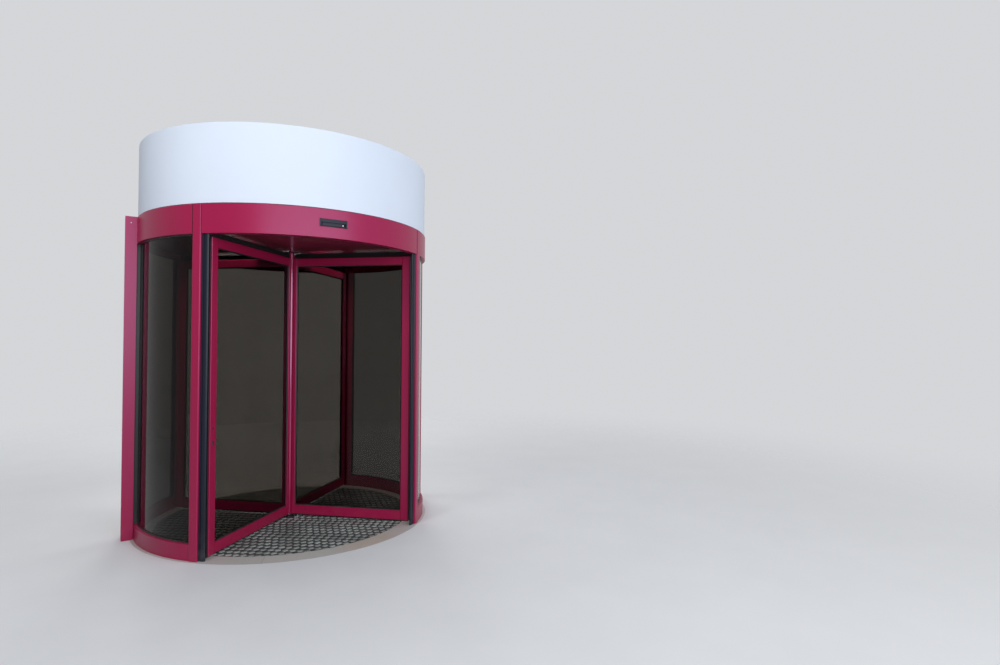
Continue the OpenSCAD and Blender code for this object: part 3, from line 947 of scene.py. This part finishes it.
def makeSensor(name, side, s):
    fromAngle, toAngle, low, high, reach = sensorSpan(side)
    inner = fasciaOuter - s["back"]
    tall = high - low
    cap = degrees(s["capWide"] / reach)
    case, window, lens = bmesh.new(), bmesh.new(), bmesh.new()
    edge = s["bodyEdge"]
    body = roundedSection(inner, reach - s["bodyInset"], low + edge, high - edge, s["corner"])
    start = cap * s["bodyFrom"]
    arcBar(case, body, fromAngle + start, toAngle - start, s["steps"])
    ends = roundedSection(inner, reach, low, high, s["corner"])
    arcBar(case, ends, fromAngle, fromAngle + cap, 1)
    arcBar(case, ends, toAngle - cap, toAngle, 1)
    foot, brow, back = [high - tall * s[part] for part in ("visorLow", "visorEdge", "visorBack")]
    visor = [(inner, foot), (reach, foot), (reach, brow), (inner, back)]
    arcBar(case, visor, fromAngle + cap, toAngle - cap, s["steps"])
    sill, head = [low + tall * s[part] for part in ("windowLow", "windowHigh")]
    pane = roundedSection(inner, reach - s["windowInset"], sill, head, s["windowCorner"])
    start = cap * s["windowFrom"]
    arcBar(window, pane, fromAngle + start, toAngle - start, s["steps"])
    # the lens is a shallow dome at the right-hand end, seen from outside; its white paints a glint
    middle = radians(toAngle - cap - degrees(s["lensFromEnd"] / reach))
    out = polar(1, middle, 0)
    along, up = Vector((-out.y, out.x, 0)), Vector((0, 0, 1))
    centre = out * (reach - s["lensInset"]) + up * (low + tall * s["lensHeight"])
    rings = []
    for rise in s["lensRises"]:
        radius = s["lensRadius"] * sqrt(1 - rise * rise)
        rings.append([lens.verts.new(centre + out * (s["lensDome"] * rise) + along * (radius * cos(a))
                                     + up * (radius * sin(a))) for a in circleAngles(s["lensSides"])])
    bridgeRings(lens, rings, False)
    casePiece = shapePiece(name + "Case", case, "sensorCase", "drum")
    shapePiece(name + "Window", window, "sensorWindow", "drum", True)
    shapePiece(name + "Lens", lens, "lensPaintedGlint", "drum")
    return casePiece


frontSensor = makeSensor("frontSensor", -1, sensorHousing)
makeSensor("backSensor", 1, sensorHousing)
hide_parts("sensors")
print("sensors made")

# Screws, set by a tree on points that carry a facing vector
screwHead = {
    "radius": 0.0045, "dome": 0.0016, "sunk": 0.0004,
    "recess": 0.42,  # share of the radius
    "corners": 12,  # every second one of the recess is drawn in
    "drawnIn": 0.87,
    "plateCircle": 0.054,  # radius of the screw circle on the floor pivot's plate
    "jambDrop": 0.047,  # below the jambs' top
    "deckCircle": 0.040,  # in from the deck's rim
    "deckScrews": 24, "deckRadius": 0.007, "deckDome": 0.0035,
    "turns": 1.05,  # radians, as far as a screw may be turned
}


def screwShape(s):
    # a low domed head with a six-cornered recess
    shape = bmesh.new()
    r, h = s["radius"], s["dome"]
    hole = r * s["recess"]
    levels = [(r, -s["sunk"]), (r, h * 0.35), (r * 0.8, h * 0.8), (hole * 1.25, h), (hole, h),
              (hole * 0.92, h * 0.2)]
    rings = []
    for i, (radius, z) in enumerate(levels):
        flats = (1.0, s["drawnIn"] if i >= 4 else 1.0)  # the last two levels are the recess
        rings.append([shape.verts.new((radius * flats[k % 2] * cos(angle),
                                       radius * flats[k % 2] * sin(angle), z))
                      for k, angle in enumerate(circleAngles(s["corners"]))])
    bridgeRings(shape, rings, False)
    return closeMesh(shape, "screwHead")


def screwTree(s):
    tree, given, result = growthTree("screwTree", {"Screw": "Object", "Seed": "Int"})
    aligned = alongVector(tree, pointVector(tree, "facing"))
    chance = randomValue(tree, 0.0, s["turns"], given["Seed"])
    screws = realCopies(tree, {
        "Points": addNode(tree, "GeometryNodeMeshToPoints", {"Mesh": given["Geometry"]}),
        "Instance": readShape(tree, given["Screw"]),
        "Rotation": addNode(tree, "FunctionNodeRotateRotation", {
            "Rotation": aligned, "Rotate By": combine(tree, Z=chance),
        }, rotation_space="LOCAL"),
    })
    paintOut(tree, given, result, screws)
    return tree


def makeScrews(name, places, tree, s, seed):  # places: (point, facing) pairs
    points, facings = zip(*places)
    seeds = seedMesh(name + "Seeds", points, [], "facing", facings)
    values = {"Screw": screwShape(s), "Seed": seed, "Finish": made["bareSteel"]}
    grownPiece(name, seeds, tree, values, "drum")


def allScrews(s):
    tree = screwTree(s)
    up = Vector((0, 0, 1))
    quarters = [radians(a) for a in range(45, 405, 90)]
    makeScrews("pivotScrews", [(polar(s["plateCircle"], a, floorTop), up) for a in quarters], tree, s, 3)
    jambLow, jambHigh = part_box("jamb_left")
    height = jambHigh.z - s["jambDrop"]
    across = abs((jambLow.x - fasciaOuter) / 2)
    faces = ((Vector((0, -1, 0)), jambLow.y), (Vector((0, 1, 0)), jambHigh.y))
    places = [(Vector((side * across, y, height)), face) for side in (-1, 1) for face, y in faces]
    makeScrews("jambScrews", places, tree, s, 5)
    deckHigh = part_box("canopy_deck")[1]
    circle = deckHigh.x - s["deckCircle"]
    places = [(polar(circle, 2 * pi * (i + 0.5) / s["deckScrews"], deckHigh.z), up)
              for i in range(s["deckScrews"])]
    makeScrews("deckScrews", places, tree, dict(s, radius=s["deckRadius"], dome=s["deckDome"]), 9)


allScrews(screwHead)
print("screws made")

# Locks: a keyed cylinder and a cap on the outer stiles of two opposite wings; their near-black core, keyway
# and cap paint the shade of a keyhole and a bolt hole
wingLock = {
    "wings": (1, 3), "cylinderHeight": 0.79, "capHeight": 0.89, "inFromEdge": 0.033,
    "plateWide": 0.018, "plateTall": 0.034, "proud": 0.0016, "sunk": 0.0004,
    "coreUp": 0.007,  # over the middle of the plate
    "coreWide": 0.0125, "coreProud": 0.0006, "slotUp": 0.006, "slotWide": 0.002,
    "slotTall": 0.0085, "slotProud": 0.0003, "capWide": 0.013, "capProud": 0.0012,
}


def facePlate(shape, toSpace, place, wide, tall, proud, count=20):
    # a rounded plate on a wing's face, with a bevelled rim; place: along the wing, up, out
    straight = max(0.0, (tall - wide) / 2)
    rings = []
    for share, out in ((1.0, -wingLock["sunk"]), (1.0, proud * 0.6), (0.88, proud)):
        ring = []
        for angle in circleAngles(count):
            c, s = cos(angle), sin(angle)
            u = place[0] + wide / 2 * share * c
            v = place[1] + wide / 2 * share * s + copysign(straight, s)
            ring.append(shape.verts.new(toSpace(u, place[2] + out, v)))
        rings.append(ring)
    bridgeRings(shape, rings, False)


def makeLock(wing, s):
    high = wingBox(wing, "stiles")[1]
    toSpace = wingSpace(wing)
    u, height, face = high.x - s["inFromEdge"], s["cylinderHeight"], high.y
    plate, core = bmesh.new(), bmesh.new()
    facePlate(plate, toSpace, (u, height, face), s["plateWide"], s["plateTall"], s["proud"])
    # near-black core, keyway slot and cap: painted shade of the keyhole and the bolt hole
    facePlate(core, toSpace, (u, height + s["coreUp"], face + s["proud"]), s["coreWide"], s["coreWide"],
              s["coreProud"])
    facePlate(core, toSpace, (u, height + s["slotUp"], face + s["proud"] + s["coreProud"]), s["slotWide"],
              s["slotTall"], s["slotProud"], 8)
    facePlate(core, toSpace, (u, s["capHeight"], face), s["capWide"], s["capWide"], s["capProud"])
    shapePiece(f"wing{wing}LockPlate", plate, "darkSteel", "rotor")
    shapePiece(f"wing{wing}LockCore", core, "gasketRubber", "rotor")


for wing in wingLock["wings"]:
    makeLock(wing, wingLock)
print("locks made")

# Canopy deck: folded cover strips over the joints of the sheets
deckSeam = {
    "lines": (-0.52, 0.0, 0.52),  # y of each joint
    "wide": 0.030, "high": 0.005, "sheet": 0.0012, "foot": 0.0016, "fromRim": 0.012,
}


def makeDeckSeams(d):
    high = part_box("canopy_deck")[1]
    wide = d["wide"]
    rise = [(wide / 2, 0), (wide / 2, d["sheet"]), (wide * 0.28, d["foot"]), (wide * 0.2, d["high"])]
    section = [(-wide / 2, 0)] + rise + [(-across, up) for across, up in reversed(rise[1:])]
    shape = bmesh.new()
    for y in d["lines"]:
        half = sqrt((high.x - d["fromRim"]) ** 2 - (abs(y) + wide / 2) ** 2)
        rings = [[shape.verts.new((x, y + across, high.z + up)) for across, up in section]
                 for x in (-half, half)]
        bridgeRings(shape, rings, False)
    shapePiece("deckSeams", shape, "zincSheet", "drum")


makeDeckSeams(deckSeam)
print("deck seams made")

# Studio: a pale floor flush with the ring, and a soft sky with a bright street side
studio = {
    "floorColor": (0.75, 0.75, 0.75),
    "floorBounce": 0.38,  # share of that colour that light bounces back with
    "floorTop": floorTop - 0.0004, "ringGap": 0.0004, "floorReach": 26.0, "floorSteps": 128,
    "floorFadeFrom": 1.6, "floorFadeTo": 9.0, "sky": (0.66, 0.67, 0.69),
    "street": (0.56, 0.61, 0.70),
    "streetEdge": (0.3, -0.8),  # where this fade begins and ends, as in the one below
    "leftEdge": (-0.15, -0.75),
    "left": (0.46, 0.46, 0.47),  # as seen, and as glass and paint mirror it
    "leftLight": (0.06, 0.055, 0.06),  # as it lights the object
}
lamps = {  # place, aim, width, height, power in watts, colour, spread in degrees
    "streetLamp": ((-0.5, -7.3, 2.5), (-0.1, 0, 1.6), 8.8, 3.4, 306, (0.93, 0.96, 1.0), 180),
    "crownLamp": ((-3.3, -2.4, 3.7), (-0.7, -0.8, 3.5), 1.2, 0.5, 50, (0.94, 0.97, 1.0), 180),
    "roomLamp": ((0.0, 0.45, 2.21), (0.0, 0.45, 0), 1.4, 0.5, 13, (1.0, 0.99, 0.96), 95),
    "backLamp": ((1.8, 7.0, 4.2), (0, 0, 1.4), 4.0, 3.0, 170, (0.98, 0.99, 1.0), 180),
}


def diffuseRay(tree):
    return addNode(tree, "ShaderNodeLightPath", out="Is Diffuse Ray")


def makeFloor(s):
    shape = bmesh.new()
    inner, outer = [], []
    for angle in circleAngles(s["floorSteps"]):
        inner.append(shape.verts.new(polar(ringOuter + s["ringGap"], angle, s["floorTop"])))
        outer.append(shape.verts.new(polar(s["floorReach"], angle, s["floorTop"])))
    for i in range(s["floorSteps"]):
        k = (i + 1) % s["floorSteps"]
        shape.faces.new((inner[i], outer[i], outer[k], inner[k]))
    finish = newFinish("studioFloor", {"color": s["floorColor"], "drift": 0.02, "rough": 0.6, "grain": 0.0})
    # the floor fades into the backdrop, so that no horizon line shows
    tree = finish.node_tree
    shader = next(n for n in tree.nodes if n.type == "BSDF_PRINCIPLED")
    seen = shader.inputs["Base Color"].links[0].from_socket
    bounced = (*(c * s["floorBounce"] for c in s["floorColor"]), 1)
    reach = vectorMath(tree, "LENGTH", objectPlace(tree), out="Value")
    setInputs(tree, shader, {
        "Base Color": mixColor(tree, diffuseRay(tree), seen, bounced),
        "Alpha": mapRange(tree, reach, s["floorFadeFrom"], s["floorFadeTo"], 1.0, 0.0, "SMOOTHSTEP"),
    })
    floor = newPiece("studioFloor", closeMesh(shape, "studioFloor"), finish, None)


def makeSky(s):
    world = bpy.data.worlds.new("studioSky")
    bpy.context.scene.world = world
    world.use_nodes = True
    tree = world.node_tree
    tree.nodes.clear()
    place = addNode(tree, "ShaderNodeTexCoord", out="Generated")
    parts = axesOf(tree, place)
    street = mapRange(tree, parts["Y"], *s["streetEdge"], kind="SMOOTHSTEP")
    left = mapRange(tree, parts["X"], *s["leftEdge"], kind="SMOOTHSTEP")
    sky = mixColor(tree, street, (*s["sky"], 1), (*s["street"], 1))
    shade = mixColor(tree, diffuseRay(tree), (*s["left"], 1), (*s["leftLight"], 1))
    light = addNode(tree, "ShaderNodeBackground", {"Color": mixColor(tree, left, sky, shade)})
    setInputs(tree, tree.nodes.new("ShaderNodeOutputWorld"), {"Surface": light})


def makeLamp(name, place, aim, wide, high, power, color, spread):
    data = bpy.data.lights.new(name, "AREA")
    data.shape = "RECTANGLE"
    data.size, data.size_y = wide, high
    data.energy = power
    data.color = color
    data.spread = radians(spread)
    lamp = addObject(name, data)
    lamp.location = place
    lamp.rotation_euler = (Vector(aim) - Vector(place)).to_track_quat("-Z", "Y").to_euler()
    lamp.visible_transmission = False  # keeps the light behind the glass free of grain
    lamp.visible_camera = False
    lamp.visible_glossy = name not in ("crownLamp", "roomLamp")


makeFloor(studio)
makeSky(studio)
for name, setup in lamps.items():
    makeLamp(name, *setup)
print("studio made")
